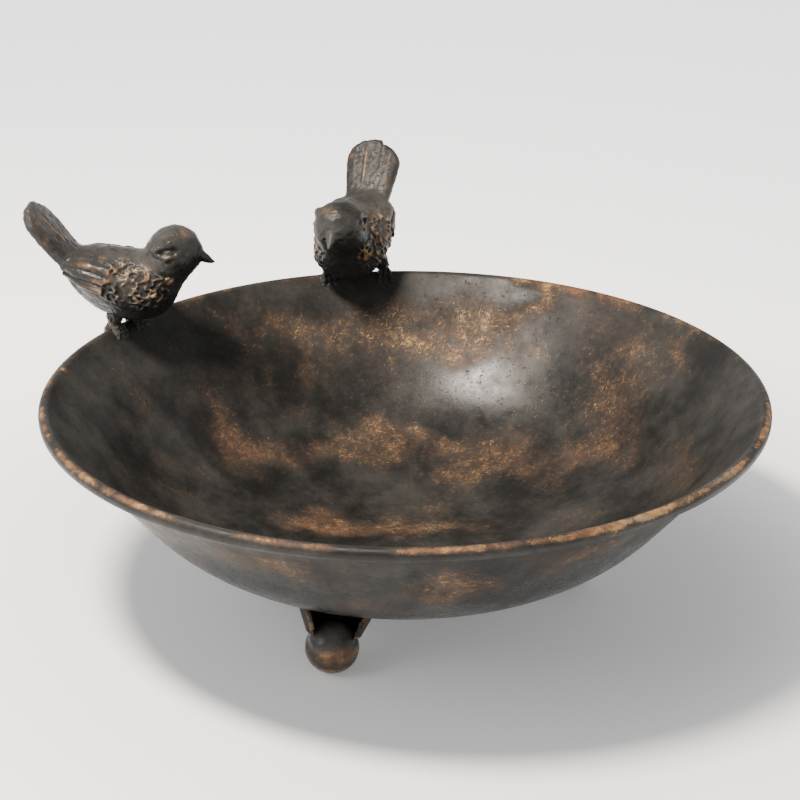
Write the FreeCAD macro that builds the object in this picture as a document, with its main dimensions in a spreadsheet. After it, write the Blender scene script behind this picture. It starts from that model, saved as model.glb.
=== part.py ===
"""Bird bath: a pressed bowl with a wired rim on three ball feet, with two small cast birds on the rim.

Frame: origin on the bowl's axis at the level of the ground, +Z up, -Y towards the viewer, +X to the right.
All the pieces are brazed or welded into one rigid object. Lengths in millimetres, angles in degrees.
"""
import FreeCAD, Part
import math
import os
import Sketcher

doc = FreeCAD.newDocument("bird_bath")

DRIVING_DIMENSIONS = [
    ("rim_diameter", 300.0, "over the rolled edge"),
    ("bowl_depth", 71.0, "middle of the rolled edge down to the underside"),
    ("sheet", 1.0, "thickness of the bowl's sheet"),
    ("floor_radius", 30.0, "flat middle of the bowl"),
    ("belly_turn", 25.0, "slope that the underside has reached where the belly ends"),
    ("shoulder_radius", 80.0, "tighter curve that turns the belly up into the wall"),
    ("wall_slope", 50.0, "wall below the rim, from the horizontal"),
    ("wire_diameter", 3.0, "wire inside the rolled edge"),
    ("wire_gap", 0.25, "all round the wire"),
    ("curl_turn", 292.0, "how far the edge is rolled round the wire"),
    ("seat_gap", 0.3, "between curved pieces that are brazed or welded together"),
    ("ball_diameter", 22.0, "foot"),
    ("foot_circle_radius", 74.5, "bowl axis to the middle of a ball"),
    ("ball_drop", 4.9, "from the belly down to the top of the ball, along the collar"),
    ("first_foot_azimuth", -113.0, "the other two follow at thirds of a turn"),
    ("collar_sheet", 1.0, "thickness of the foot's collar"),
    ("collar_grip", 62.0, "from the top of the ball down to the collar's lower edge"),
    ("collar_flare", 23.0, "half angle of the collar's cone"),
    ("collar_opening", 100.0, "how much of the turn round a collar is left open, showing the ball"),
    ("collar_opening_turn", 25.0, "from straight outward to the middle of the opening"),
    ("left_bird_azimuth", 148.0, "where the left bird stands on the rim"),
    ("left_bird_heading", -8.0, "where its beak points"),
    ("rear_bird_azimuth", 99.0, "where the rear bird stands on the rim"),
    ("rear_bird_heading", -105.0, "where its beak points"),
    ("left_bird_nod", 0.0, "how far the left bird is tipped forward"),
    ("left_bird_sink", 0.0, "how far it is pressed down over its legs"),
    ("rear_bird_nod", 4.0, "how far the rear bird is tipped forward"),
    ("rear_bird_sink", 1.4, "how far it is pressed down over its legs"),
    ("breast_radius", 16.0, "front of the body"),
    ("breast_forward", 10.0, "middle of the breast, ahead of the rim"),
    ("breast_height", 21.0, "middle of the breast, above the middle of the rim"),
    ("flank_radius", 62.0, "long curve from the breast to the rump"),
    ("rump_radius", 8.0, "back of the body"),
    ("body_length", 33.0, "middle of the breast to the middle of the rump"),
    ("body_pitch", 14.0, "how far the rump is tipped up"),
    ("head_radius", 11.75, "head"),
    ("head_forward", 24.6, "middle of the head, ahead of the rim"),
    ("head_height", 36.8, "middle of the head, above the middle of the rim"),
    ("beak_length", 6.6, "from its root inside the head"),
    ("beak_root_radius", 4.2, "beak where it leaves the head"),
    ("beak_tip_radius", 0.7, "rounded point of the beak"),
    ("beak_droop", 13.0, "beak below the horizontal"),
    ("tail_rise", 51.5, "tail above the horizontal"),
    ("tail_length", 37.0, "from its root inside the body"),
    ("tail_width", 26.0, "across the tail feathers"),
    ("tail_root_thickness", 8.5, "tail where it leaves the body"),
    ("tail_tip_thickness", 3.4, "tail at its end"),
    ("tail_corner", 8.0, "rounding of the tail's two end corners"),
    ("tail_root_back", 18.0, "root of the tail, behind the rim"),
    ("tail_root_height", 27.8, "root of the tail, above the middle of the rim"),
    ("wing_proud", 1.4, "how far the folded wing stands out from the body"),
    ("wing_front_radius", 9.0, "rounded shoulder of the wing"),
    ("wing_forward", 9.0, "middle of the shoulder, ahead of the rim"),
    ("wing_height", 24.0, "middle of the shoulder, above the middle of the rim"),
    ("wing_length", 36.0, "shoulder to the wing tip"),
    ("wing_tip_radius", 2.0, "wing tip"),
    ("wing_rise", 14.0, "wing tip above the shoulder, as an angle"),
    ("left_bird_leg_spread", 2.8, "angle at the bowl's axis from the left bird's middle to one leg"),
    ("rear_bird_leg_spread", 5.3, "the same for the rear bird"),
    ("leg_radius", 2.3, "leg"),
    ("leg_aim_height", 17.0, "point in the body that the leg aims at, above the middle of the rim"),
    ("leg_lean", 0.6, "how far off the bird's middle that point is, as a share of the foot's own distance"),
    ("toe_radius", 1.4, "toe"),
    ("toe_fan", 24.0, "angle between two front toes, seen from above"),
    ("toe_length", 4.6, "straight part of a front toe, down the inside of the wall"),
    ("hind_toe_turn", 108.0, "how far the hind toe reaches round the outside of the rim"),
]

# Sizes that follow from the driving ones. BEAD is the outer radius of the rolled edge, and RIM the radius of
# the circle that its middle runs on.
BEAD = "(sizes.wire_diameter / 2 + sizes.wire_gap + sizes.sheet)"
RIM = f"(sizes.rim_diameter / 2 - {BEAD})"
BALL = "(sizes.ball_diameter / 2)"
SLOPE = "(sizes.wall_slope * 1 deg)"
TURN = "(sizes.belly_turn * 1 deg)"
# The belly's curve and the straight wall share out what the flat middle and the shoulder leave of the
# bowl's width and depth. The wall's outer face meets the inside of the curl, CURL_IN from the rim's middle.
CURL_IN = f"({BEAD} - sizes.sheet)"
WIDTH_LEFT = (
    f"({RIM} - sizes.floor_radius - {CURL_IN} * sin({SLOPE})"
    f" - sizes.shoulder_radius * (sin({SLOPE}) - sin({TURN})))"
)
DEPTH_LEFT = (
    f"(sizes.bowl_depth + {CURL_IN} * cos({SLOPE})"
    f" - sizes.shoulder_radius * (cos({TURN}) - cos({SLOPE})))"
)
BELLY = (
    f"(({WIDTH_LEFT} * sin({SLOPE}) - {DEPTH_LEFT} * cos({SLOPE}))"
    f" / (cos({SLOPE} - {TURN}) - cos({SLOPE})))"
)
# Heights above the ground. A ball's middle and the middle of the belly's curve are on the collar's axis,
# and how far apart they lie sets how high the bowl stands.
FOOT_AXIS = f"({BELLY} + sizes.ball_drop + {BALL})"
FOOT_OUT = "(sizes.foot_circle_radius - sizes.floor_radius)"
BELLY_CENTRE = f"({BALL} + sqrt({FOOT_AXIS} ^ 2 - {FOOT_OUT} ^ 2))"
UNDERSIDE = f"({BELLY_CENTRE} - {BELLY})"
RIM_HEIGHT = f"({UNDERSIDE} + sizes.bowl_depth)"


def make_sheet():
    sheet = doc.addObject("Spreadsheet::Sheet", "sizes")
    for row, (name, number, meaning) in enumerate(DRIVING_DIMENSIONS, start=1):
        sheet.set(f"A{row}", name)
        sheet.set(f"B{row}", str(number))
        sheet.set(f"C{row}", meaning)
        sheet.setAlias(f"B{row}", name)
    doc.recompute()
    return sheet


sizes = make_sheet()


def value(expression):
    """The number that an expression in the sheet's names comes to now."""
    return float(sizes.evalExpression(expression))


def size(name):
    return value(f"sizes.{name}")


# ---------------------------------------------------------------- helpers for bodies, sketches, primitives


def origin_plane(body, role):
    return next(item for item in body.Origin.OriginFeatures if item.Role == role)


def new_sketch(body, name, role="XZ_Plane", turn=0.0, at=(0.0, 0.0)):
    """A sketch on one of the body's own planes, moved to `at` in that plane and turned by `turn`."""
    sketch = body.newObject("Sketcher::SketchObject", name)
    sketch.AttachmentSupport = (origin_plane(body, role), [""])
    sketch.MapMode = "FlatFace"
    sketch.AttachmentOffset = FreeCAD.Placement(
        FreeCAD.Vector(at[0], at[1], 0), FreeCAD.Rotation(FreeCAD.Vector(0, 0, 1), turn)
    )
    return sketch


def line(sketch, start, end):
    segment = Part.LineSegment(FreeCAD.Vector(*start, 0), FreeCAD.Vector(*end, 0))
    return sketch.addGeometry(segment, False)


def arc(sketch, centre, radius, start_degrees, end_degrees):
    circle = Part.Circle(FreeCAD.Vector(*centre, 0), FreeCAD.Vector(0, 0, 1), radius)
    bow = Part.ArcOfCircle(circle, math.radians(start_degrees), math.radians(end_degrees))
    return sketch.addGeometry(bow, False)


def rule(sketch, kind, *what, to=None):
    """Add a constraint. With `to`, its value follows an expression."""
    if to is None:
        return sketch.addConstraint(Sketcher.Constraint(kind, *what))
    number = math.radians(value(to)) if kind == "Angle" else value(to)
    index = sketch.addConstraint(Sketcher.Constraint(kind, *what, number))
    sketch.setExpression(f"Constraints[{index}]", f"({to}) * 1 {'deg' if kind == 'Angle' else 'mm'}")
    return index


def revolve(body, sketch, axis="V_Axis"):
    feature = body.newObject("PartDesign::Revolution", sketch.Name + "_turned")
    feature.Profile = sketch
    feature.ReferenceAxis = (sketch, [axis])
    feature.Angle = 360
    sketch.Visibility = False
    return feature


def primitive(kind, name, **expressions):
    item = doc.addObject(f"Part::{kind}", name)
    for prop, expression in expressions.items():
        item.setExpression(prop, expression)
    return item


def boolean(kind, name, first, second):
    item = doc.addObject(f"Part::{kind}", name)
    item.Base = first
    item.Tool = second
    return item


def union(name, pieces):
    item = doc.addObject("Part::MultiFuse", name)
    item.Shapes = pieces
    item.Refine = False
    return item


def on(sketch_point, degrees, radius):
    """The point at `radius` from sketch_point in the direction `degrees`."""
    angle = math.radians(degrees)
    return (sketch_point[0] + radius * math.cos(angle), sketch_point[1] + radius * math.sin(angle))


# ---------------------------------------------------------------- bowl, wire and the bowl's outer envelope


def make_bowl():
    """Half a section of the sheet, turned about the bowl's axis. x is the radius and y the height."""
    sheet, floor = size("sheet"), size("floor_radius")
    belly, shoulder = value(BELLY), size("shoulder_radius")
    slope, joint = size("wall_slope"), size("belly_turn")
    bead = value(BEAD)
    under = value(UNDERSIDE)
    rim = (value(RIM), value(RIM_HEIGHT))
    belly_middle = (floor, under + belly)
    shoulder_middle = on(belly_middle, joint - 90, belly - shoulder)
    curl_top = slope + 90
    curl_end = curl_top - size("curl_turn")

    body = doc.addObject("PartDesign::Body", "bowl")
    body.Label = "bowl"
    sketch = new_sketch(body, "bowl_section")
    floor_out = line(sketch, (0, under), (floor, under))
    belly_out = arc(sketch, belly_middle, belly, -90, joint - 90)
    shoulder_out = arc(sketch, shoulder_middle, shoulder, joint - 90, slope - 90)
    wall_foot_out = on(shoulder_middle, slope - 90, shoulder)
    wall_out = line(sketch, wall_foot_out, on(rim, curl_top, bead - sheet))
    curl_in = arc(sketch, rim, bead - sheet, curl_end, curl_top)
    curl_edge = line(sketch, on(rim, curl_end, bead - sheet), on(rim, curl_end, bead))
    curl_out = arc(sketch, rim, bead, curl_end, curl_top)
    wall_foot_in = on(shoulder_middle, slope - 90, shoulder - sheet)
    wall_in = line(sketch, on(rim, curl_top, bead), wall_foot_in)
    shoulder_in = arc(sketch, shoulder_middle, shoulder - sheet, joint - 90, slope - 90)
    belly_in = arc(sketch, belly_middle, belly - sheet, -90, joint - 90)
    floor_in = line(sketch, (floor, under + sheet), (0, under + sheet))
    axis = line(sketch, (0, under + sheet), (0, under))

    rule(sketch, "Tangent", floor_out, 2, belly_out, 1)
    rule(sketch, "Tangent", belly_out, 2, shoulder_out, 1)
    rule(sketch, "Tangent", shoulder_out, 2, wall_out, 1)
    rule(sketch, "Tangent", wall_out, 2, curl_in, 2)
    rule(sketch, "Coincident", curl_in, 1, curl_edge, 1)
    rule(sketch, "Coincident", curl_edge, 2, curl_out, 1)
    rule(sketch, "Tangent", curl_out, 2, wall_in, 1)
    rule(sketch, "Tangent", wall_in, 2, shoulder_in, 2)
    rule(sketch, "Tangent", shoulder_in, 1, belly_in, 2)
    rule(sketch, "Tangent", belly_in, 1, floor_in, 1)
    rule(sketch, "Coincident", floor_in, 2, axis, 1)
    rule(sketch, "Coincident", axis, 2, floor_out, 1)
    rule(sketch, "Horizontal", floor_out)
    rule(sketch, "Horizontal", floor_in)
    rule(sketch, "Vertical", axis)
    rule(sketch, "PointOnObject", floor_out, 1, -2)
    rule(sketch, "Coincident", curl_in, 3, curl_out, 3)
    rule(sketch, "Coincident", belly_out, 3, belly_in, 3)
    rule(sketch, "Coincident", shoulder_out, 3, shoulder_in, 3)
    rule(sketch, "Parallel", wall_out, wall_in)
    rule(sketch, "PointOnObject", curl_in, 3, curl_edge)
    rule(sketch, "DistanceX", floor_out, 1, floor_out, 2, to="sizes.floor_radius")
    rule(sketch, "DistanceY", axis, 2, axis, 1, to="sizes.sheet")
    rule(sketch, "Radius", belly_out, to=BELLY)
    rule(sketch, "Radius", shoulder_out, to="sizes.shoulder_radius")
    rule(sketch, "Angle", wall_out, to="sizes.wall_slope")
    rule(sketch, "Radius", curl_out, to=BEAD)
    rule(sketch, "DistanceX", -1, 1, curl_out, 3, to=RIM)
    rule(sketch, "DistanceY", -1, 1, curl_out, 3, to=RIM_HEIGHT)
    rule(sketch, "DistanceY", floor_out, 1, curl_out, 3, to="sizes.bowl_depth")
    rule(sketch, "Angle", curl_edge, to="sizes.wall_slope + 90 - sizes.curl_turn")
    revolve(body, sketch)
    return body


def make_wire():
    ring = primitive("Torus", "rim_wire", Radius1=RIM, Radius2="sizes.wire_diameter / 2")
    ring.setExpression("Placement.Base.z", RIM_HEIGHT)
    ring.Label = "rim_wire"
    return ring


def make_envelope():
    """The belly's outer surface one seat gap further out, as a closed solid that trims the collars."""
    floor, radius = size("floor_radius"), value(BELLY) + size("seat_gap")
    middle = (floor, value(BELLY_CENTRE))
    reach = size("wall_slope") - 90
    body = doc.addObject("PartDesign::Body", "belly_envelope")
    sketch = new_sketch(body, "belly_section")
    bottom = on(middle, -90, radius)
    top = on(middle, reach, radius)
    flat = line(sketch, (0, bottom[1]), bottom)
    curve = arc(sketch, middle, radius, -90, reach)
    lid = line(sketch, top, (0, top[1]))
    axis = line(sketch, (0, top[1]), (0, bottom[1]))
    rule(sketch, "Tangent", flat, 2, curve, 1)
    rule(sketch, "Coincident", curve, 2, lid, 1)
    rule(sketch, "Coincident", lid, 2, axis, 1)
    rule(sketch, "Coincident", axis, 2, flat, 1)
    rule(sketch, "Horizontal", flat)
    rule(sketch, "Horizontal", lid)
    rule(sketch, "Vertical", axis)
    rule(sketch, "PointOnObject", flat, 1, -2)
    rule(sketch, "DistanceX", -1, 1, curve, 3, to="sizes.floor_radius")
    rule(sketch, "DistanceY", -1, 1, curve, 3, to=BELLY_CENTRE)
    rule(sketch, "Radius", curve, to=f"{BELLY} + sizes.seat_gap")
    rule(sketch, "DistanceX", flat, 2, lid, 1, to=f"({BELLY} + sizes.seat_gap) * sin({SLOPE})")
    revolve(body, sketch)
    return body


# ---------------------------------------------------------------- feet


def make_foot(place, azimuth, envelope):
    """A ball on the ground and, over it, a cone of sheet that flares up and meets the belly squarely.

    The cone is open on the outer side, like a collar, so the top of the ball shows there.
    """
    spin = FreeCAD.Rotation(FreeCAD.Vector(0, 0, 1), azimuth)
    middle = spin.multVec(FreeCAD.Vector(size("foot_circle_radius"), 0, value(BALL)))
    ball = primitive("Sphere", f"foot_ball_{place}", Radius=BALL)
    ball.Label = f"foot_ball_{place}"
    ball.Placement = FreeCAD.Placement(middle, FreeCAD.Rotation())

    # The collar's axis runs from the middle of the ball to the middle of the belly's curve.
    lean = FreeCAD.Rotation(FreeCAD.Vector(0, 1, 0), -value(f"asin({FOOT_OUT} / {FOOT_AXIS})"))
    start = f"({BALL} * cos(sizes.collar_grip * 1 deg))"
    mouth = f"({BALL} * sin(sizes.collar_grip * 1 deg) + sizes.seat_gap)"
    flare = "tan(sizes.collar_flare * 1 deg)"
    # Tall enough to pass into the envelope all round, which then trims it.
    tall = f"({BALL} + 2 * sizes.ball_drop)"
    cone = {"Radius1": mouth, "Radius2": f"{mouth} + {tall} * {flare}", "Height": tall}
    wall = "sizes.collar_sheet"
    inside = primitive("Cone", f"collar_inside_{place}", **cone)
    outside = primitive(
        "Cone", f"collar_outside_{place}",
        Radius1=f"{cone['Radius1']} + {wall}", Radius2=f"{cone['Radius2']} + {wall}", Height=tall,
    )
    along = FreeCAD.Placement(middle, spin * lean)
    offset = FreeCAD.Placement(FreeCAD.Vector(0, 0, value(start)), FreeCAD.Rotation())
    inside.Placement = outside.Placement = along * offset
    shell = boolean("Cut", f"collar_shell_{place}", outside, inside)
    # A sector of a cylinder cuts the opening, a sheet's thickness longer than the cone at both ends.
    opening = primitive(
        "Cylinder", f"collar_opening_{place}",
        Radius=f"{cone['Radius2']} + 2 * {wall}", Height=f"{tall} + 2 * {wall}",
        Angle="sizes.collar_opening * 1 deg",
    )
    first_edge = size("collar_opening_turn") - size("collar_opening") / 2
    opening.Placement = along * FreeCAD.Placement(
        FreeCAD.Vector(0, 0, value(start) - size("collar_sheet")),
        FreeCAD.Rotation(FreeCAD.Vector(0, 0, 1), first_edge),
    )
    bent = boolean("Cut", f"collar_bent_{place}", shell, opening)
    collar = boolean("Cut", f"foot_collar_{place}", bent, envelope)
    collar.Label = f"foot_collar_{place}"
    return [collar, ball]


# ---------------------------------------------------------------- birds

# Each bird is built with the middle of the rim under it as origin, +X to its beak and +Z up.


def make_egg(name, extra):
    """The body, egg-shaped, turned about its own pitched axis and made `extra` larger all over."""
    breast, rump = size("breast_radius") + extra, size("rump_radius") + extra
    flank, length = size("flank_radius") + extra, size("body_length")
    more = f" + {extra}"
    # The middle of the flank's arc is at known distances from the middles of the breast and the rump.
    to_breast, to_rump = flank - breast, flank - rump
    back = (to_rump**2 - to_breast**2 - length**2) / (-2 * length)
    down = math.sqrt(to_breast**2 - back**2)
    flank_middle = (-back, -down)
    breast_end = math.degrees(math.atan2(down, back))
    rump_end = math.degrees(math.atan2(down, back - length))

    body = doc.addObject("PartDesign::Body", name)
    at = (size("breast_forward"), size("breast_height"))
    sketch = new_sketch(body, name + "_section", turn=-size("body_pitch"), at=at)
    front = arc(sketch, (0, 0), breast, 0, breast_end)
    side = arc(sketch, flank_middle, flank, breast_end, rump_end)
    rear = arc(sketch, (-length, 0), rump, rump_end, 180)
    axis = line(sketch, (-length - rump, 0), (breast, 0))
    rule(sketch, "Tangent", front, 2, side, 1)
    rule(sketch, "Tangent", side, 2, rear, 1)
    rule(sketch, "Coincident", rear, 2, axis, 1)
    rule(sketch, "Coincident", axis, 2, front, 1)
    rule(sketch, "Coincident", front, 3, -1, 1)
    rule(sketch, "PointOnObject", rear, 3, -1)
    rule(sketch, "PointOnObject", axis, 1, -1)
    rule(sketch, "PointOnObject", axis, 2, -1)
    rule(sketch, "DistanceX", rear, 3, front, 3, to="sizes.body_length")
    rule(sketch, "Radius", front, to="sizes.breast_radius" + more)
    rule(sketch, "Radius", side, to="sizes.flank_radius" + more)
    rule(sketch, "Radius", rear, to="sizes.rump_radius" + more)
    revolve(body, sketch, "H_Axis")
    return body


def make_tail(bird):
    """A thick tapered plate with rounded end corners, rising from the rump."""
    length, width = size("tail_length"), size("tail_width")
    root, tip = size("tail_root_thickness") / 2, size("tail_tip_thickness") / 2
    body = doc.addObject("PartDesign::Body", bird + "_tail")
    at = (-size("tail_root_back"), size("tail_root_height"))
    sketch = new_sketch(body, bird + "_tail_side", turn=180 - size("tail_rise"), at=at)
    under = line(sketch, (0, root), (length, tip))
    end = line(sketch, (length, tip), (length, -tip))
    top = line(sketch, (length, -tip), (0, -root))
    start = line(sketch, (0, -root), (0, root))
    sides = [under, end, top, start]
    for first, second in zip(sides, sides[1:] + sides[:1]):
        rule(sketch, "Coincident", first, 2, second, 1)
    rule(sketch, "Vertical", start)
    rule(sketch, "Symmetric", start, 1, start, 2, -1, 1)
    rule(sketch, "Symmetric", end, 1, end, 2, -1)
    rule(sketch, "DistanceX", -1, 1, end, 1, to="sizes.tail_length")
    rule(sketch, "DistanceY", start, 1, start, 2, to="sizes.tail_root_thickness")
    rule(sketch, "DistanceY", end, 2, end, 1, to="sizes.tail_tip_thickness")
    plate = body.newObject("PartDesign::Pad", bird + "_tail_plate")
    plate.Profile = sketch
    plate.setExpression("Length", "sizes.tail_width")
    plate.Midplane = True
    doc.recompute()
    # The two short edges at the far end run through the plate's thickness.
    corners = [
        f"Edge{number}"
        for number, edge in enumerate(plate.Shape.Edges, start=1)
        if abs(edge.Length - 2 * tip) < 1e-6 and abs(abs(edge.CenterOfMass.y) - width / 2) < 1e-6
    ]
    rounding = body.newObject("PartDesign::Fillet", bird + "_tail_corners")
    rounding.Base = (plate, corners)
    rounding.setExpression("Radius", "sizes.tail_corner")
    return body


def make_wings(bird):
    """Both folded wings: the body made a little larger, inside a drop-shaped outline seen from the side."""
    outline = doc.addObject("PartDesign::Body", bird + "_wing_outline")
    at = (size("wing_forward"), size("wing_height"))
    shoulder, tip, length = size("wing_front_radius"), size("wing_tip_radius"), size("wing_length")
    spread = math.degrees(math.acos((shoulder - tip) / length))
    sketch = new_sketch(outline, bird + "_wing_side", turn=180 - size("wing_rise"), at=at)
    upper = line(sketch, on((length, 0), spread, tip), on((0, 0), spread, shoulder))
    front = arc(sketch, (0, 0), shoulder, spread, 360 - spread)
    lower = line(sketch, on((0, 0), -spread, shoulder), on((length, 0), -spread, tip))
    back = arc(sketch, (length, 0), tip, -spread, spread)
    rule(sketch, "Tangent", upper, 2, front, 1)
    rule(sketch, "Tangent", front, 2, lower, 1)
    rule(sketch, "Tangent", lower, 2, back, 1)
    rule(sketch, "Tangent", back, 2, upper, 1)
    rule(sketch, "Coincident", front, 3, -1, 1)
    rule(sketch, "PointOnObject", back, 3, -1)
    rule(sketch, "DistanceX", -1, 1, back, 3, to="sizes.wing_length")
    rule(sketch, "Radius", front, to="sizes.wing_front_radius")
    rule(sketch, "Radius", back, to="sizes.wing_tip_radius")
    block = outline.newObject("PartDesign::Pad", bird + "_wing_block")
    block.Profile = sketch
    block.setExpression("Length", "4 * (sizes.breast_radius + sizes.wing_proud)")
    block.Midplane = True
    larger = make_egg(bird + "_wing_surface", size("wing_proud"))
    return boolean("Common", bird + "_wings", larger, outline)


def make_bird(bird, stands):
    """One casting: body, wings, head, beak and tail."""
    head = primitive("Sphere", bird + "_head", Radius="sizes.head_radius")
    head_middle = FreeCAD.Vector(size("head_forward"), 0, size("head_height"))
    head.Placement = FreeCAD.Placement(head_middle, FreeCAD.Rotation())
    beak = primitive(
        "Cone", bird + "_beak",
        Radius1="sizes.beak_root_radius", Radius2="sizes.beak_tip_radius", Height="sizes.beak_length",
    )
    droop = FreeCAD.Rotation(FreeCAD.Vector(0, 1, 0), 90 + size("beak_droop"))
    # The root lies where the cone's rim is just inside the head.
    reach = math.sqrt(size("head_radius") ** 2 - size("beak_root_radius") ** 2)
    ahead = droop.multVec(FreeCAD.Vector(0, 0, reach - size("seat_gap")))
    beak.Placement = FreeCAD.Placement(head_middle + ahead, droop)
    casting = union(bird, [make_egg(bird + "_body", 0.0), make_wings(bird), head, beak, make_tail(bird)])
    casting.Label = bird
    casting.Placement = stands
    return casting


def ring_piece(name, swing, start, turn, facing):
    """Part of a ring that stands upright over the rim, from `start` degrees above +X and on by `turn`."""
    angle = math.radians(value(start))
    along = FreeCAD.Vector(math.cos(angle), 0, math.sin(angle))
    across = FreeCAD.Vector(-math.sin(angle), 0, math.cos(angle))
    ring = primitive("Torus", name, Radius1=swing, Radius2="sizes.toe_radius", Angle3=turn)
    upright = FreeCAD.Rotation(along, across, FreeCAD.Vector(0, -1, 0), "XYZ")
    ring.Placement = FreeCAD.Placement(FreeCAD.Vector(), facing * upright)
    return ring


def toe_tip(name, middle):
    tip = primitive("Sphere", name, Radius="sizes.toe_radius")
    tip.Placement = FreeCAD.Placement(middle, FreeCAD.Rotation())
    return tip


def make_toes(name):
    """Three toes over the inside of the rim and one outside. +X points into the bowl, origin mid-rim."""
    pieces = []
    for number, side in enumerate((-1, 0, 1), start=1):
        facing = FreeCAD.Rotation(FreeCAD.Vector(0, 0, 1), side * size("toe_fan"))
        fan = f"({side} * sizes.toe_fan * 1 deg)"
        # A fanned toe crosses the bead aslant, so it swings wider, and it runs down the wall less steeply.
        swing = f"({BEAD} / cos({fan}) + sizes.seat_gap + sizes.toe_radius)"
        dip = f"atan(cos({fan}) * tan({SLOPE}))"
        pieces.append(ring_piece(f"{name}_bend_{number}", swing, f"90 deg - {dip}", dip, facing))
        steep = math.radians(90 - value(dip))
        over_edge = FreeCAD.Vector(math.cos(steep), 0, math.sin(steep)) * value(swing)
        downhill = facing * FreeCAD.Rotation(FreeCAD.Vector(0, 1, 0), 90 + value(dip))
        run = primitive(
            "Cylinder", f"{name}_run_{number}", Radius="sizes.toe_radius", Height="sizes.toe_length"
        )
        run.Placement = FreeCAD.Placement(facing.multVec(over_edge), downhill)
        end = facing.multVec(over_edge) + downhill.multVec(FreeCAD.Vector(0, 0, size("toe_length")))
        pieces += [run, toe_tip(f"{name}_tip_{number}", end)]
    straight = f"({BEAD} + sizes.seat_gap + sizes.toe_radius)"
    hind_end = on((0, 0), 90 + size("hind_toe_turn"), value(straight))
    pieces.append(
        ring_piece(f"{name}_hind", straight, "90 deg", "sizes.hind_toe_turn * 1 deg", FreeCAD.Rotation())
    )
    pieces.append(toe_tip(f"{name}_hind_tip", FreeCAD.Vector(hind_end[0], 0, hind_end[1])))
    return pieces, FreeCAD.Vector(0, 0, value(straight))


def make_leg(bird, side_name, side, azimuth, stands, clear_of):
    """Leg and toes in one piece: the leg leans in under the body, and `clear_of` trims its upper end."""
    name = f"{bird}_leg_{side_name}"
    at = azimuth - side * size(bird + "_leg_spread")
    foot_stands = rim_placement(at, at + 180)
    toes, knuckle = make_toes(name)
    # The leg aims at a point inside the body, nearer to the bird's middle plane than the foot is.
    foot_here = stands.inverse().multVec(foot_stands.multVec(knuckle))
    lean = size("leg_lean")
    aim = FreeCAD.Vector(foot_here.x * lean, foot_here.y * lean, size("leg_aim_height"))
    direction = foot_stands.inverse().multVec(stands.multVec(aim)) - knuckle
    shank = primitive("Cylinder", name + "_shank", Radius="sizes.leg_radius")
    shank.Height = direction.Length
    shank.Placement = FreeCAD.Placement(knuckle, FreeCAD.Rotation(FreeCAD.Vector(0, 0, 1), direction))
    whole = union(name + "_whole", toes + [shank])
    whole.Placement = foot_stands
    leg = boolean("Cut", name, whole, clear_of)
    leg.Label = name
    return leg


def rim_placement(azimuth, heading):
    """On the middle of the rim at one angle round the bowl, with +X turned to another."""
    turn = FreeCAD.Rotation(FreeCAD.Vector(0, 0, 1), azimuth)
    place = turn.multVec(FreeCAD.Vector(value(RIM), 0, value(RIM_HEIGHT)))
    return FreeCAD.Placement(place, FreeCAD.Rotation(FreeCAD.Vector(0, 0, 1), heading))


def make_perched_bird(bird):
    """A bird on the rim with its two legs, which are brazed to the rim and to the underside of the body."""
    azimuth, heading = size(bird + "_azimuth"), size(bird + "_heading")
    nod = FreeCAD.Rotation(FreeCAD.Vector(0, 1, 0), size(bird + "_nod"))
    settled = FreeCAD.Placement(FreeCAD.Vector(0, 0, -size(bird + "_sink")), nod)
    stands = rim_placement(azimuth, heading) * settled
    clear_of = make_egg(bird + "_clearance", size("seat_gap"))
    clear_of.Placement = stands
    legs = [
        make_leg(bird, side_name, side, azimuth, stands, clear_of)
        for side_name, side in (("left", 1), ("right", -1))
    ]
    return [make_bird(bird, stands)] + legs


# ---------------------------------------------------------------- the whole object


def check_document(pieces):
    """Stop before anything is written if any object failed or any piece is missing or unsound."""
    failed = [item.Name for item in doc.Objects if {"Invalid", "Error"} & set(item.State)]
    if failed:
        raise RuntimeError(f"failed to build: {failed}")
    for piece in pieces:
        if piece.Shape.isNull() or not piece.Shape.isValid() or len(piece.Shape.Solids) != 1:
            raise RuntimeError(f"{piece.Label} is not one sound solid")


def main():
    envelope = make_envelope()
    pieces = [make_bowl(), make_wire()]
    for number, place in enumerate(("front", "right", "back")):
        pieces += make_foot(place, size("first_foot_azimuth") + 120 * number, envelope)
    for bird in ("left_bird", "rear_bird"):
        pieces += make_perched_bird(bird)
    doc.recompute()
    check_document(pieces)
    os.makedirs("parts", exist_ok=True)
    for piece in pieces:
        piece.Shape.exportStep(f"parts/{piece.Label}.step")


main()
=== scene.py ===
import math

import bmesh
import bpy
import numpy as np
from mathutils import Matrix, Vector


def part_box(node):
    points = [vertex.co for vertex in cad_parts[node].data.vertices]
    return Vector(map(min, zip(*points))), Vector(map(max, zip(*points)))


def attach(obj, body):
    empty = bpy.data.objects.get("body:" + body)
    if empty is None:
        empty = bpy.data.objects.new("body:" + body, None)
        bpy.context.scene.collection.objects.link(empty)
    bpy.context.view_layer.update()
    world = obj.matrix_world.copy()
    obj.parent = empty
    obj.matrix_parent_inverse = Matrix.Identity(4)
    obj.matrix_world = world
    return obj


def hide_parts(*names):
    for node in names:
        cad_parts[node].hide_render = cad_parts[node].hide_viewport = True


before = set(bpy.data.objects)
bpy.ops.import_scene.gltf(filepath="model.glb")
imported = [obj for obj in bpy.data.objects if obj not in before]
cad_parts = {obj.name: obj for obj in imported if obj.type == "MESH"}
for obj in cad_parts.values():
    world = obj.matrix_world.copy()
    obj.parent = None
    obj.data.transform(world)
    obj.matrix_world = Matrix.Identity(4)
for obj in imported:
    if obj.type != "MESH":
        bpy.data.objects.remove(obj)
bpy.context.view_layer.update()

# ================================================================ camera
# A long lens from the front, a little above the rim, with the whole bath in view.

MM = 0.001
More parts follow.
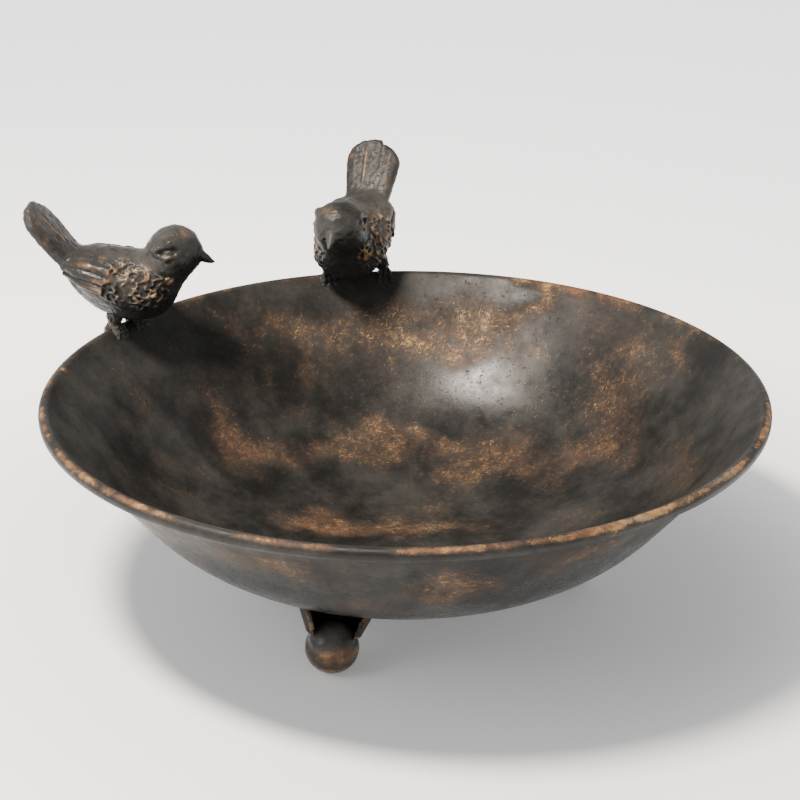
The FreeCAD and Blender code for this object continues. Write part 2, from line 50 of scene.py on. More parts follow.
# The bowl's box gives the rim: its bead stands out from the middle of the rolled edge all round.
bowl_low, bowl_high = (Vector(corner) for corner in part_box("bowl"))
BEAD_RADIUS = 2.75 * MM
RIM_RADIUS = bowl_high.x - BEAD_RADIUS
RIM_HEIGHT = bowl_high.z - BEAD_RADIUS
VIEW_DISTANCE = 0.900
VIEW_ELEVATION = math.radians(22.6)
LENS_MM = 98.0

camera_data = bpy.data.cameras.new("camera")
camera = bpy.data.objects.new("camera", camera_data)
bpy.context.scene.collection.objects.link(camera)
bpy.context.scene.camera = camera
camera_data.lens = LENS_MM
camera_data.sensor_width = 36.0
camera_data.clip_start = 0.01
aim = Vector((-2.1 * MM, 0, RIM_HEIGHT - 2.5 * MM))
away = Vector((0, -math.cos(VIEW_ELEVATION), math.sin(VIEW_ELEVATION)))
camera.location = aim + away * VIEW_DISTANCE
camera.rotation_euler = away.to_track_quat("Z", "Y").to_euler()

# ================================================================ studio
# A pale floor that glows a little, as on a light table, a white room that is darker overhead, and one
# soft lamp above and behind, whose reflection lies in the bowl.

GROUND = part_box("foot_ball_front")[0][2]


class Nodes:
    """A node tree being wired up. `add` makes a node, sets its values and links what is given as a socket;
    an input is given by its name, or as i0, i1 and so on by its number."""

    def __init__(self, tree):
        self.tree = tree

    def add(self, kind, out=0, settings=None, **inputs):
        node = self.tree.nodes.new(kind)
        for name, value in (settings or {}).items():
            setattr(node, name, value)
        for name, value in inputs.items():
            key = int(name[1:]) if name[0] == "i" and name[1:].isdigit() else name.replace("_", " ")
            socket = node.inputs[key]
            if isinstance(value, bpy.types.NodeSocket):
                self.tree.links.new(value, socket)
            else:
                socket.default_value = value
        return node.outputs[out] if out is not None else node

    def maths(self, operation, first, second=0.0, third=0.0):
        return self.add("ShaderNodeMath", settings={"operation": operation}, i0=first, i1=second, i2=third)

    def ramp(self, value, low, high):
        """0 below `low`, 1 above `high` and smooth between."""
        return self.add(
            "ShaderNodeMapRange", settings={"interpolation_type": "SMOOTHSTEP"},
            Value=value, From_Min=low, From_Max=high,
        )

    def noise(self, vector, scale, detail=2.0, roughness=0.5):
        return self.add(
            "ShaderNodeTexNoise", Vector=vector, Scale=scale, Detail=detail, Roughness=roughness)

    def mix(self, amount, first, second):
        node = self.tree.nodes.new("ShaderNodeMix")
        node.data_type = "RGBA"
        for socket, value in ((node.inputs[0], amount), (node.inputs[6], first), (node.inputs[7], second)):
            if isinstance(value, bpy.types.NodeSocket):
                self.tree.links.new(value, socket)
            else:
                socket.default_value = value
        return node.outputs[2]

    def moved(self, vector, scale=(1.0, 1.0, 1.0), shift=(0.0, 0.0, 0.0)):
        return self.add("ShaderNodeMapping", Vector=vector, Scale=scale, Location=shift)


def soft_lamp(name, place, target, width, height, watts, colour):
    data = bpy.data.lights.new(name, "AREA")
    data.shape = "ELLIPSE"
    data.size, data.size_y = width, height
    data.energy = watts
    data.color = colour
    lamp = bpy.data.objects.new(name, data)
    lamp.location = place
    lamp.rotation_euler = (Vector(place) - Vector(target)).to_track_quat("Z", "Y").to_euler()
    bpy.context.scene.collection.objects.link(lamp)
    return lamp


room = bpy.data.worlds.new("white_room")
bpy.context.scene.world = room
room.use_nodes = True
room_nodes = Nodes(room.node_tree)
room_background = room.node_tree.nodes["Background"]
direction = room_nodes.add("ShaderNodeTexCoord", out="Generated")
height = room_nodes.add("ShaderNodeSeparateXYZ", out="Z", Vector=direction)
overhead = room_nodes.ramp(height, 0.10, 0.75)
room_colour = room_nodes.mix(overhead, (1.0, 1.0, 1.0, 1), (0.36, 0.36, 0.36, 1))
room.node_tree.links.new(room_colour, room_background.inputs["Color"])
room_background.inputs["Strength"].default_value = 1.15
soft_lamp("top_lamp", (-0.31, -0.21, 0.82), (0.033, 0.103, 0.051), 0.26, 0.14, 20.5, (1.0, 0.89, 0.78))
soft_lamp("side_lamp", (-1.1, -0.6, 0.9), (0, 0, 0.05), 0.8, 0.8, 6.0, (1.0, 1.0, 1.0))

floor_mesh = bpy.data.meshes.new("floor")
floor_corners = [(x, y, GROUND) for x, y in ((-6, -6), (6, -6), (6, 6), (-6, 6))]
floor_mesh.from_pydata(floor_corners, [], [(0, 1, 2, 3)])
floor = bpy.data.objects.new("floor", floor_mesh)
bpy.context.scene.collection.objects.link(floor)
floor_paint = bpy.data.materials.new("floor_paint")
floor_paint.use_nodes = True
floor_shader = floor_paint.node_tree.nodes["Principled BSDF"]
floor_shader.inputs["Base Color"].default_value = (0.93, 0.93, 0.93, 1)
floor_shader.inputs["Roughness"].default_value = 0.9
floor_shader.inputs["Emission Color"].default_value = (1, 1, 1, 1)
# Under the bath the floor glows less: a painted shadow of the bath, as if it shaded the floor.
floor_nodes = Nodes(floor_paint.node_tree)
off_middle = floor_nodes.add("ShaderNodeVectorMath", out="Value", settings={"operation": "LENGTH"},
                             i0=floor_nodes.add("ShaderNodeTexCoord", out="Object"))
glow_with_painted_shadow = floor_nodes.maths("MULTIPLY_ADD", floor_nodes.ramp(off_middle, 0.13, 0.38), 1.40, 0.14)
floor_paint.node_tree.links.new(glow_with_painted_shadow, floor_shader.inputs["Emission Strength"])
floor_mesh.materials.append(floor_paint)

# ================================================================ bowl
# Thin steel sheet, pressed to shape, with its edge rolled outward round a wire. The finish is a dark
# brown-black patina, satin, which has been rubbed with copper and gold in scratchy patches.

SHEET = 1.0 * MM
CURL_INSIDE = BEAD_RADIUS - SHEET
FLOOR_RADIUS = 30.0 * MM
BELLY_TURN = math.radians(25.0)
SHOULDER_RADIUS = 80.0 * MM
WALL_SLOPE = math.radians(50.0)
CURL_TURN = math.radians(292.0)
STEPS_ROUND_BOWL = 288
# The sheet is never quite even. The section is drawn in by this much, so that the piece keeps its size.
UNEVEN = 0.16 * MM

BLACK = (0.0085, 0.0083, 0.0078, 1)
SMOKE = (0.031, 0.0300, 0.0275, 1)
UMBER = (0.046, 0.030, 0.021, 1)
COPPER = (0.165, 0.082, 0.044, 1)
GOLD = (0.35, 0.21, 0.088, 1)
PALE = (0.28, 0.205, 0.125, 1)


# A dry brush was drawn three ways: how fine its hairs are, and the turn of its strokes.
BRUSH_STROKES = ((1150.0, (0, 0, 0)), (1250.0, (0, -0.88, 1.57)), (1350.0, (0, -0.5, 0.7)))
STROKE_LENGTH = 5.5


def patina(name, shift=0.0, fine=1.0, rough=0.285, relief=1.0, solid=0.0, dull_top=0.0, lift=1.0, pale=0.0):
    """Dark patina with dry-brushed copper and gold. The attribute `rubbed` says how much, point by point:
    0 is untouched, 1 well scratched, 2 bright all over; on the rolled edge and on the birds' lower lids it
    also carries a painted sheen and highlight. `shift` makes each piece's pattern its own, `fine` its strokes
    finer, and `solid` turns them into even rubbing. `dull_top` roughens the last centimetres below the rim,
    `lift` makes the patina less black, and `pale` the metal less red."""
    material = bpy.data.materials.new(name)
    material.use_nodes = True
    nodes = Nodes(material.node_tree)
    shader = material.node_tree.nodes["Principled BSDF"]
    here = nodes.add("ShaderNodeTexCoord", out="Object")
    place = nodes.moved(here, shift=(shift, 0.37 * shift, 0.11 * shift))
    rubbed = nodes.add("ShaderNodeAttribute", out="Fac", settings={"attribute_name": "rubbed"})

    # Clouds in the patina, and a soft brown haze round each rubbed patch.
    clouds = nodes.ramp(nodes.noise(place, 30.0, 8.0, 0.72), 0.36, 0.70)
    ragged = nodes.maths("SUBTRACT", nodes.noise(place, 58.0, 7.0, 0.72), 0.5)
    spread = nodes.maths("MULTIPLY_ADD", ragged, 2.3 * (1 - 0.6 * solid), rubbed)
    haze = nodes.ramp(spread, 0.26, 1.30)

    # Hair-fine strokes of a dry brush, lying three ways and bent, denser where more was rubbed.
    bends = nodes.add("ShaderNodeTexNoise", out="Color", Vector=place, Scale=85.0, Detail=2.0)
    bends = nodes.add("ShaderNodeVectorMath", settings={"operation": "SCALE"}, i0=bends, Scale=0.0065)
    bent = nodes.add("ShaderNodeVectorMath", i0=place, i1=bends)
    strokes = None
    for pace, turn in BRUSH_STROKES:
        lying = nodes.add(
            "ShaderNodeMapping", settings={"vector_type": "TEXTURE"}, Vector=bent, Rotation=turn,
            Scale=(STROKE_LENGTH, 1, 1))
        line = nodes.noise(lying, pace * fine, 3.0, 0.6)
        over = nodes.maths("MULTIPLY_ADD", spread, 0.205, nodes.maths("SUBTRACT", line, 0.789))
        stroke = nodes.ramp(over, -0.01, 0.11)
        strokes = stroke if strokes is None else nodes.maths("MAXIMUM", strokes, stroke)

    # Fine metal dust between the strokes, and even rubbing on smooth castings.
    dust = nodes.maths("MULTIPLY_ADD", spread, 0.24, nodes.noise(place, 380.0 * fine, 6.0, 0.75))
    dust = nodes.maths("MULTIPLY", nodes.ramp(dust, 0.60, 1.00), 0.34)
    even = nodes.maths("MULTIPLY", nodes.ramp(spread, 0.55, 1.35), solid)
    even = nodes.maths("MAXIMUM", even, nodes.ramp(spread, 1.45, 2.2))
    metal_share = nodes.maths("MAXIMUM", nodes.maths("MAXIMUM", strokes, dust), even)

    tint = nodes.noise(place, 26.0, 3.0)
    tint = nodes.maths("MULTIPLY_ADD", nodes.noise(place, 300.0 * fine, 3.0), 0.7, tint)
    metal = nodes.mix(nodes.ramp(tint, 0.72, 0.98), COPPER, GOLD)
    metal = nodes.mix(nodes.ramp(nodes.noise(place, 31.0), 0.54 - pale, 0.70 - pale), metal, PALE)

    dark, light = ([lift * share for share in colour[:3]] + [1] for colour in (BLACK, SMOKE))
    ground = nodes.mix(clouds, dark, light)
    ground = nodes.mix(nodes.maths("MULTIPLY", haze, 0.72), ground, UMBER)
    faded = nodes.ramp(nodes.noise(place, 170.0, 5.0, 0.6), 0.16, 0.70)
    strength = nodes.maths("MULTIPLY", metal_share, faded)
    colour = nodes.mix(strength, ground, metal)
    material.node_tree.links.new(colour, shader.inputs["Base Color"])

    # Where it is rubbed, the satin coat has gone dull.
    grain = nodes.noise(place, 1500.0, 2.0)
    soft = nodes.noise(place, 150.0, 6.0, 0.68)
    pits = nodes.ramp(nodes.noise(place, 560.0, 3.0, 0.6), 0.60, 0.70)
    roughness = nodes.maths("MULTIPLY_ADD", nodes.maths("SUBTRACT", soft, 0.5), 0.42, rough)
    roughness = nodes.maths("MULTIPLY_ADD", pits, 0.22, roughness)
    dull = nodes.maths("MULTIPLY", nodes.ramp(rubbed, 0.25, 0.95), 0.20 * (1 - solid))
    roughness = nodes.maths("ADD", roughness, dull)
    if dull_top:
        tall = nodes.add("ShaderNodeSeparateXYZ", out="Z", Vector=here)
        top = nodes.ramp(tall, RIM_HEIGHT - 0.030, RIM_HEIGHT - 0.010)
        roughness = nodes.maths("MULTIPLY_ADD", top, dull_top, roughness)
    material.node_tree.links.new(roughness, shader.inputs["Roughness"])
    material.node_tree.links.new(nodes.maths("MULTIPLY", strength, 0.45), shader.inputs["Metallic"])
    shader.inputs["IOR"].default_value = 1.28

    height = nodes.maths("MULTIPLY_ADD", grain, 0.35, nodes.maths("MULTIPLY", metal_share, 0.6))
    height = nodes.maths("MULTIPLY_ADD", soft, 0.9, height)
    height = nodes.maths("MULTIPLY_ADD", pits, -0.5, height)
    bump = nodes.add("ShaderNodeBump", Height=height, Strength=0.45 * relief, Distance=0.00012)
    material.node_tree.links.new(bump, shader.inputs["Normal"])
    return material


def arc_points(middle, radius, start, end, steps):
    """Points along an arc in the section's plane, both ends included. Angles go from +r towards +z."""
    angles = np.linspace(start, end, steps + 1)
    return [(middle[0] + radius * math.cos(a), middle[1] + radius * math.sin(a)) for a in angles]


def belly_radius(rim):
    """The outer radius of the belly that leads from the flat middle to a rim at (radius, height)."""
    slope_sin, slope_cos = math.sin(WALL_SLOPE), math.cos(WALL_SLOPE)
    wide = (rim[0] - FLOOR_RADIUS - CURL_INSIDE * slope_sin
            - SHOULDER_RADIUS * (slope_sin - math.sin(BELLY_TURN)))
    deep = (rim[1] - bowl_low.z + CURL_INSIDE * slope_cos
            - SHOULDER_RADIUS * (math.cos(BELLY_TURN) - slope_cos))
    return (wide * slope_sin - deep * slope_cos) / (math.cos(WALL_SLOPE - BELLY_TURN) - slope_cos)


def bowl_outline():
    """Half the bowl's section as a line of (radius, height): underside, curl and back inside."""
    rim = (RIM_RADIUS - UNEVEN, RIM_HEIGHT - UNEVEN)
    under = bowl_low.z
    belly = belly_radius(rim)
    belly_middle = (FLOOR_RADIUS, under + belly)
    down = -math.pi / 2
    turn_in = BELLY_TURN + down
    shoulder_middle = arc_points(belly_middle, belly - SHOULDER_RADIUS, turn_in, turn_in, 1)[0]
    curl_top = WALL_SLOPE - down
    curl_end = curl_top - CURL_TURN

    def face(offset):
        """Floor, belly, shoulder and wall of one face, `offset` inside the outer one."""
        flat = [(r, under + offset) for r in np.linspace(0, FLOOR_RADIUS, 10)]
        rise = arc_points(belly_middle, belly - offset, down, turn_in, 22)
        bend = arc_points(shoulder_middle, SHOULDER_RADIUS - offset, turn_in, WALL_SLOPE + down, 16)
        edge = arc_points(rim, CURL_INSIDE + offset, curl_top, curl_top, 1)[0]
        wall = [(bend[-1][0] + t * (edge[0] - bend[-1][0]), bend[-1][1] + t * (edge[1] - bend[-1][1]))
                for t in np.linspace(0, 1, 13)]
        return flat + rise[1:] + bend[1:] + wall[1:-1]

    curl_in = arc_points(rim, CURL_INSIDE, curl_top, curl_end, 26)
    curl_out = arc_points(rim, BEAD_RADIUS, curl_end, curl_top, 30)
    return face(0.0) + curl_in + curl_out + face(SHEET)[::-1]


def mesh_of(name, verts, faces, material):
    mesh = bpy.data.meshes.new(name)
    mesh.from_pydata([tuple(v) for v in verts], [], [tuple(f) for f in faces])
    mesh.update()
    mesh.materials.append(material)
    return mesh


def new_piece(name, mesh):
    """An object for a finished mesh, riding on the bath."""
    mesh.shade_smooth()
    piece = bpy.data.objects.new(name, mesh)
    bpy.context.scene.collection.objects.link(piece)
    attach(piece, "root")
    return piece


def set_rubbed(piece, amounts):
    layer = piece.data.attributes.new("rubbed", "FLOAT", "POINT")
    layer.data.foreach_set("value", np.asarray(amounts, dtype=np.float32))


def points_of(mesh):
    flat = np.empty(len(mesh.vertices) * 3)
    mesh.vertices.foreach_get("co", flat)
    return flat.reshape(-1, 3)


def growing_tree(name, inputs):
    """An empty Geometry Nodes tree with named inputs, and the node that gives them."""
    tree = bpy.data.node_groups.new(name, "GeometryNodeTree")
    tree.interface.new_socket("Geometry", in_out="OUTPUT", socket_type="NodeSocketGeometry")
    tree.interface.new_socket("Geometry", in_out="INPUT", socket_type="NodeSocketGeometry")
    for label, kind in inputs.items():
        tree.interface.new_socket(label, in_out="INPUT", socket_type=kind)
    return Nodes(tree), tree.nodes.new("NodeGroupInput").outputs


def end_tree(nodes, geometry, material):
    """Realize what the tree made, give it its material and send it out."""
    geometry = nodes.add("GeometryNodeRealizeInstances", Geometry=geometry)
    geometry = nodes.add("GeometryNodeSetMaterial", Geometry=geometry, Material=material)
    nodes.add("NodeGroupOutput", out=None, Geometry=geometry)


def grown(base, tree, values):
    """The plain mesh that a tree makes from a base mesh, with its inputs set."""
    holder = bpy.data.objects.new(tree.name, base)
    bpy.context.scene.collection.objects.link(holder)
    modifier = holder.modifiers.new(tree.name, "NODES")
    modifier.node_group = tree
    for item in tree.interface.items_tree:
        if item.in_out == "INPUT" and item.name in values:
            modifier[item.identifier] = values[item.name]
    graph = bpy.context.evaluated_depsgraph_get()
    mesh = bpy.data.meshes.new_from_object(holder.evaluated_get(graph), depsgraph=graph)
    holder.modifiers.remove(modifier)
    bpy.data.objects.remove(holder)
    return mesh


def lathe_tree(material):
    """Turns a section once round the Z axis, closes it at the axis and bends the sheet a little unevenly."""
    nodes, given = growing_tree(
        "lathe", {"Steps": "NodeSocketInt", "Path Radius": "NodeSocketFloat", "Unevenness": "NodeSocketFloat",
                  "Waves per Metre": "NodeSocketFloat"})
    section = nodes.add("GeometryNodeMeshToCurve", Mesh=given["Geometry"])
    path = nodes.add(
        "GeometryNodeCurvePrimitiveCircle", Resolution=given["Steps"], Radius=given["Path Radius"])
    turned = nodes.add("GeometryNodeCurveToMesh", Curve=path, Profile_Curve=section)
    turned = nodes.add("GeometryNodeMergeByDistance", Geometry=turned, Distance=0.01 * MM)
    here = nodes.add("GeometryNodeInputPosition")
    waves = nodes.add(
        "ShaderNodeTexNoise", out="Color", Vector=here, Scale=given["Waves per Metre"], Detail=1.0)
    waves = nodes.add(
        "ShaderNodeVectorMath", settings={"operation": "SUBTRACT"}, i0=waves, i1=(0.5, 0.5, 0.5))
    push = nodes.add(
        "ShaderNodeVectorMath", settings={"operation": "SCALE"}, i0=waves, Scale=given["Unevenness"])
    uneven = nodes.add("GeometryNodeSetPosition", Geometry=turned, Offset=push)
    end_tree(nodes, uneven, material)
    return nodes.tree


def smooth_waves(points, length, seed, count=14):
    """A gentle random wave over space: a sum of sines of about the given wavelength, within -1 to 1."""
    rng = np.random.default_rng(seed)
    total = np.zeros(len(points))
    for _ in range(count):
        direction = rng.normal(size=3)
        direction /= np.linalg.norm(direction)
        pace = 2 * math.pi / (length * rng.uniform(0.7, 1.6))
        total += np.sin(points @ direction * pace + rng.uniform(0, 2 * math.pi))
    return total / count ** 0.5 / 1.6


# Where the inside is rubbed: (x, y, radius along x, radius along y, strength), in mm. Some run together.
RUBBED_INSIDE = [
    (-9, 123, 30, 13, 0.85), (19, 124, 24, 13, 0.85), (42, 120, 20, 12, 0.70), (-49, 119, 28, 11, 0.75),
    (-66, 100, 30, 16, 0.55), (68, 126, 15, 7, 1.0), (85, 106, 26, 17, 0.62), (107, 92, 17, 14, 0.60),
    (126, 67, 6, 8, 0.9), (92, 76, 17, 17, 0.55), (87, 58, 14, 17, 0.60), (74, 52, 18, 12, 0.65),
    (108, 66, 15, 18, 0.45), (114, 20, 17, 26, 0.42), (118, -12, 14, 22, 0.40), (-76, 54, 16, 16, 0.75),
    (-60, 66, 18, 11, 0.75), (-34, 78, 19, 10, 0.85), (-12, 84, 19, 9, 0.85), (14, 86, 22, 9, 0.70),
    (38, 78, 20, 9, 0.80), (29, 62, 20, 12, 1.05), (52, 66, 13, 8, 0.85), (14, 40, 17, 12, 0.75),
    (22, 16, 20, 11, 1.1), (60, 34, 14, 12, 0.40), (-37, 22, 22, 11, 1.35), (-8, 16, 18, 9, 1.0),
    (-30, 34, 16, 8, 0.7), (-116, 54, 10, 13, 0.75), (-92, 78, 20, 16, 0.45), (76, 10, 13, 9, 0.6),
    (97, 30, 16, 10, 0.35), (-100, 20, 20, 18, 0.35), (-20, -30, 30, 12, 0.7), (30, -48, 34, 14, 0.9),
    (-70, -30, 26, 20, 0.6), (82, -50, 24, 22, 0.8), (-30, -88, 34, 14, 0.9), (40, -104, 30, 14, 0.8),
    (-100, -60, 18, 22, 0.6), (0, -126, 34, 9, 0.7),
]
# Where the rolled edge is worn bright, and where it is lightened as a painted sheen: (angle round the bowl,
# half angle, strength), in degrees. The strong entries at -12, -166 and 176, at the edge's right and left
# ends, are the painted sheen that those ends catch.
RIM_WEAR_AND_SHEEN = [
    (-58, 17, 3.1), (-82, 10, 2.5), (-38, 11, 2.2), (-106, 10, 1.5), (-131, 9, 2.0), (-148, 8, 2.2),
    (-166, 8, 1.6), (61, 9, 2.8), (48, 7, 2.0), (30, 10, 1.3), (-12, 12, 2.0), (100, 14, 0.9),
    (128, 8, 1.1), (176, 9, 1.6),
]
# The same for the outside: (angle, half angle, height, half height, strength), in degrees and mm.
RUBBED_OUTSIDE = [
    (-110, 13, 74, 10, 1.0), (-84, 12, 64, 15, 0.9), (-60, 13, 74, 12, 0.8), (-97, 11, 46, 13, 0.7),
    (-134, 14, 64, 16, 0.6), (-34, 18, 68, 16, 0.65), (-70, 10, 44, 12, 0.55), (10, 16, 60, 18, 0.55),
    (50, 16, 56, 18, 0.5),
    (85, 14, 66, 16, 0.6), (120, 18, 50, 18, 0.5), (155, 14, 64, 16, 0.55), (-165, 14, 56, 18, 0.45),
]


def bowl_rubbing(points):
    """How much each point of the bowl is rubbed. Inside and outside have their own patches; on the rolled
    edge the amount is wear and also a painted sheen.
    """
    x, y, z = (points / MM).T
    radius = np.hypot(x, y)
    angle = np.degrees(np.arctan2(y, x))
    rim = np.hypot(radius - RIM_RADIUS / MM, z - RIM_HEIGHT / MM) < BEAD_RADIUS / MM + 0.6
    is_inside = inside_points(points)
    warp_x = x + 7 * smooth_waves(points / MM, 30, 21)
    warp_y = y + 7 * smooth_waves(points / MM, 30, 22)
    inside = np.full(len(points), 0.05)
    for px, py, rx, ry, strength in RUBBED_INSIDE:
        inside += strength * np.exp(-(((warp_x - px) / rx) ** 2 + ((warp_y - py) / ry) ** 2)) * 0.80
    outside = np.full(len(points), 0.12)
    for middle, wide, height, tall, strength in RUBBED_OUTSIDE:
        off = (angle - middle + 180) % 360 - 180 + 4 * smooth_waves(points / MM, 26, 23)
        outside = np.maximum(outside, strength * np.exp(-((off / wide) ** 2 + ((z - height) / tall) ** 2)))
    # A painted highlight over the whole edge: it starts half rubbed, so that it shows as a lighter line.
    wear_and_sheen = np.full(len(points), 0.50)
    for middle, wide, strength in RIM_WEAR_AND_SHEEN:
        off = (angle - middle + 180) % 360 - 180
        wear_and_sheen = np.maximum(wear_and_sheen, strength * np.exp(-(off / wide) ** 4))
    # Only the crest of the edge is worn, but at the back its inside too. The band leans to the sides that
    # face up and to the front, and so is also a painted highlight along the lit edge.
    tilt = np.degrees(np.arctan2(z - RIM_HEIGHT / MM, radius - RIM_RADIUS / MM))
    crest_wear_and_sheen = np.exp(-((tilt - np.where(y > 20, 105, 62)) / np.where(y > 20, 60, 40)) ** 2)
    wear_and_sheen = wear_and_sheen * (0.8 + 0.45 * smooth_waves(points / MM, 7, 24))
    amount = np.where(is_inside, np.minimum(inside, 1.35), outside)
    return np.where(rim, wear_and_sheen * crest_wear_and_sheen + 0.25 * amount * (1 - crest_wear_and_sheen), amount)


def inside_points(points):
    """Which points are on the inner face, by their height over the middle of the sheet's thickness."""
    x, y, z = points.T
    radius = np.hypot(x, y)
    section = np.array(bowl_outline())
    half = len(section) // 2
    under = section[:half][np.argmax(section[:half, 0] > 0):]
    rising = under[under[:, 0].argsort()]
    return z > np.interp(radius, rising[:, 0], rising[:, 1]) + 0.6 * MM


section = bowl_outline()[::-1]
PATH_RADIUS = 10.0 * MM
outline = bpy.data.meshes.new("bowl_section")
# A section's +Y is swept as -Z, so its heights are turned over.
outline.from_pydata([(radius - PATH_RADIUS, -height, 0) for radius, height in section],
                    [(n, n + 1) for n in range(len(section) - 1)], [])
bowl_finish = patina("bowl_patina", dull_top=0.16)
bowl_mesh = grown(outline, lathe_tree(bowl_finish), {
    "Steps": STEPS_ROUND_BOWL, "Path Radius": PATH_RADIUS, "Unevenness": 2 * UNEVEN, "Waves per Metre": 14.0,
})
bowl = new_piece("pressed_bowl", bowl_mesh)
set_rubbed(bowl, bowl_rubbing(points_of(bowl_mesh)))
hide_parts("bowl")

# ================================================================ birds
# Two small castings from one mould, perched on the rim. Head and back are smooth, the wing coverts lumpy,
# the flight feathers and tail ridged, and the raised feathers are rubbed with gold. Sizes in mm, with the
# middle of the rim under the bird as origin, +X to its beak and +Z up.

TAIL_ROOT = np.array([-18.0, 27.8])
TAIL_RISE = math.radians(51.5)
TAIL_LENGTH = 36.0
WING_PITCH = math.radians(20.0)
# Each bird's angle round the rim, heading, nod, sink in mm, and its legs' spread. Angles in degrees.
PERCHES = {"left_bird": (148.0, -8.0, 0.0, 0.0, 2.8), "rear_bird": (99.0, -105.0, 4.0, 1.4, 5.3)}
BIRD_ROUGHNESS = {"left_bird": 0.32, "rear_bird": 0.44}


def join(first, second, soft):
    """The union of two fields, melted together over about `soft` mm."""
    share = np.clip(0.5 + 0.5 * (second - first) / soft, 0, 1)
    return second * (1 - share) + first * share - soft * share * (1 - share)


def cut(first, second, soft):
    return -join(-first, second, soft)


def egg(p, middle, radii, pitch=0.0):
    """Field of an ellipsoid. A positive pitch tips its back up."""
    q = p - np.array(middle)
    turn = math.radians(pitch)
    x = q[:, 0] * math.cos(turn) - q[:, 2] * math.sin(turn)
    z = q[:, 0] * math.sin(turn) + q[:, 2] * math.cos(turn)
    q = np.stack([x, q[:, 1], z], axis=1)
    radii = np.array(radii)
    near = np.linalg.norm(q / radii, axis=1)
    steep = np.linalg.norm(q / radii ** 2, axis=1) + 1e-9
    return near * (near - 1) / steep


def rod(p, start, end, start_radius, end_radius):
    """Field of a round bar that tapers evenly between two round ends."""
    start, end = np.array(start, float), np.array(end, float)
    along = end - start
    share = np.clip((p - start) @ along / (along @ along), 0, 1)
    nearest = start + share[:, None] * along
    return np.linalg.norm(p - nearest, axis=1) - (start_radius + share * (end_radius - start_radius))


def smoothstep(value, low, high):
    share = np.clip((value - low) / (high - low), 0, 1)
    return share * share * (3 - 2 * share)


def window(value, low, high, soft):
    """1 between low and high, fading to 0 over `soft` outside."""
    return smoothstep(value, low - soft, low) * (1 - smoothstep(value, high, high + soft))


def tail_place(p):
    """Distance up the tail, across it and out from its upper face."""
    dx, dz = p[:, 0] - TAIL_ROOT[0], p[:, 2] - TAIL_ROOT[1]
    up = -dx * math.cos(TAIL_RISE) + dz * math.sin(TAIL_RISE)
    out = dx * math.sin(TAIL_RISE) + dz * math.cos(TAIL_RISE)
    return up, p[:, 1], out + 0.011 * p[:, 1] ** 2


def wing_place(p):
    """Distance back along the folded wing from its shoulder, and height across it."""
    back = -(p[:, 0] - 16.0) * math.cos(WING_PITCH) + (p[:, 2] - 21.0) * math.sin(WING_PITCH)
    across = (p[:, 0] - 16.0) * math.sin(WING_PITCH) + (p[:, 2] - 21.0) * math.cos(WING_PITCH)
    return back, across


def tail_half_width(up):
    return 6.6 + 3.6 * smoothstep(up, -5, 7) + 2.9 * smoothstep(up, 3, 27)


def tail_field(p):
    up, side, out = tail_place(p)
    half_thick = 3.3 - 1.4 * smoothstep(up, 0, 34)
    half_wide = tail_half_width(up)
    end = TAIL_LENGTH - 7.5 * np.abs(side / 13.2) ** 2.6 - 1.5 * smoothstep(side, 3.0, 4.2)
    flat = cut(np.abs(out) - half_thick, up + 6, 3.0)
    return cut(cut(flat, half_wide - np.abs(side), 2.6), end - up, 2.6)


def coverts_relief(p):
    """Winding lumps like coral on the front half of the wing, standing for small ruffled feathers."""
    winding = smooth_waves(p, 4.1, 5, 26) + 0.40 * smooth_waves(p, 2.4, 6)
    lumps = 1 - np.clip(np.abs(winding) / 0.60, 0, 1) ** 1.8
    return lumps * (0.80 + 0.45 * smooth_waves(p, 3.4, 7))


def flight_relief(p):
    """Long ridged feathers on the back half of the wing, fanning a little."""
    back, across = wing_place(p)
    lane = (across + 0.0065 * (back - 18) ** 2 - 1.0) / 4.4
    aside = np.abs(lane - np.floor(lane) - 0.5) * 2
    return 1 - aside ** 3


def tail_relief(p):
    """Feathers side by side, with a shaft down each and narrow grooves between."""
    up, side, _ = tail_place(p)
    lane = side / tail_half_width(up) * 1.5 + 0.5
    aside = np.abs(lane - np.floor(lane) - 0.5) * 2
    shaft = np.exp(-((aside / 0.16) ** 2))
    return 1 - aside ** 8 + 0.45 * shaft + 0.5 * smooth_waves(p, 4.0, 14)


def bird_areas(p):
    """Where each kind of feather lies: coverts, flight feathers and tail, each 0 to 1."""
    back, across = wing_place(p)
    flank = smoothstep(np.abs(p[:, 1]), 5.5, 9.0)
    coverts = window(back, -6.5, 19.5, 2.0) * window(across, -7.5, 9.0, 1.5) * flank
    flight = window(back, 20.5, 44.0, 2.0) * window(across, -7.5, 6.0, 1.5) * flank
    up, _, _ = tail_place(p)
    flight = flight * (1 - smoothstep(up, 2.5, 7.5))
    return coverts, flight, smoothstep(up, 9.0, 15.0)


def bird_relief(p):
    coverts, flight, tail = bird_areas(p)
    relief = coverts * 1.0 * coverts_relief(p) + flight * 0.95 * flight_relief(p)
    relief = relief + tail * 0.24 * tail_relief(p) + 0.14 * smooth_waves(p, 9.0, 9)
    return relief + 0.12 * smooth_waves(p, 3.5, 8) + 0.08 * smooth_waves(p, 1.8, 10)


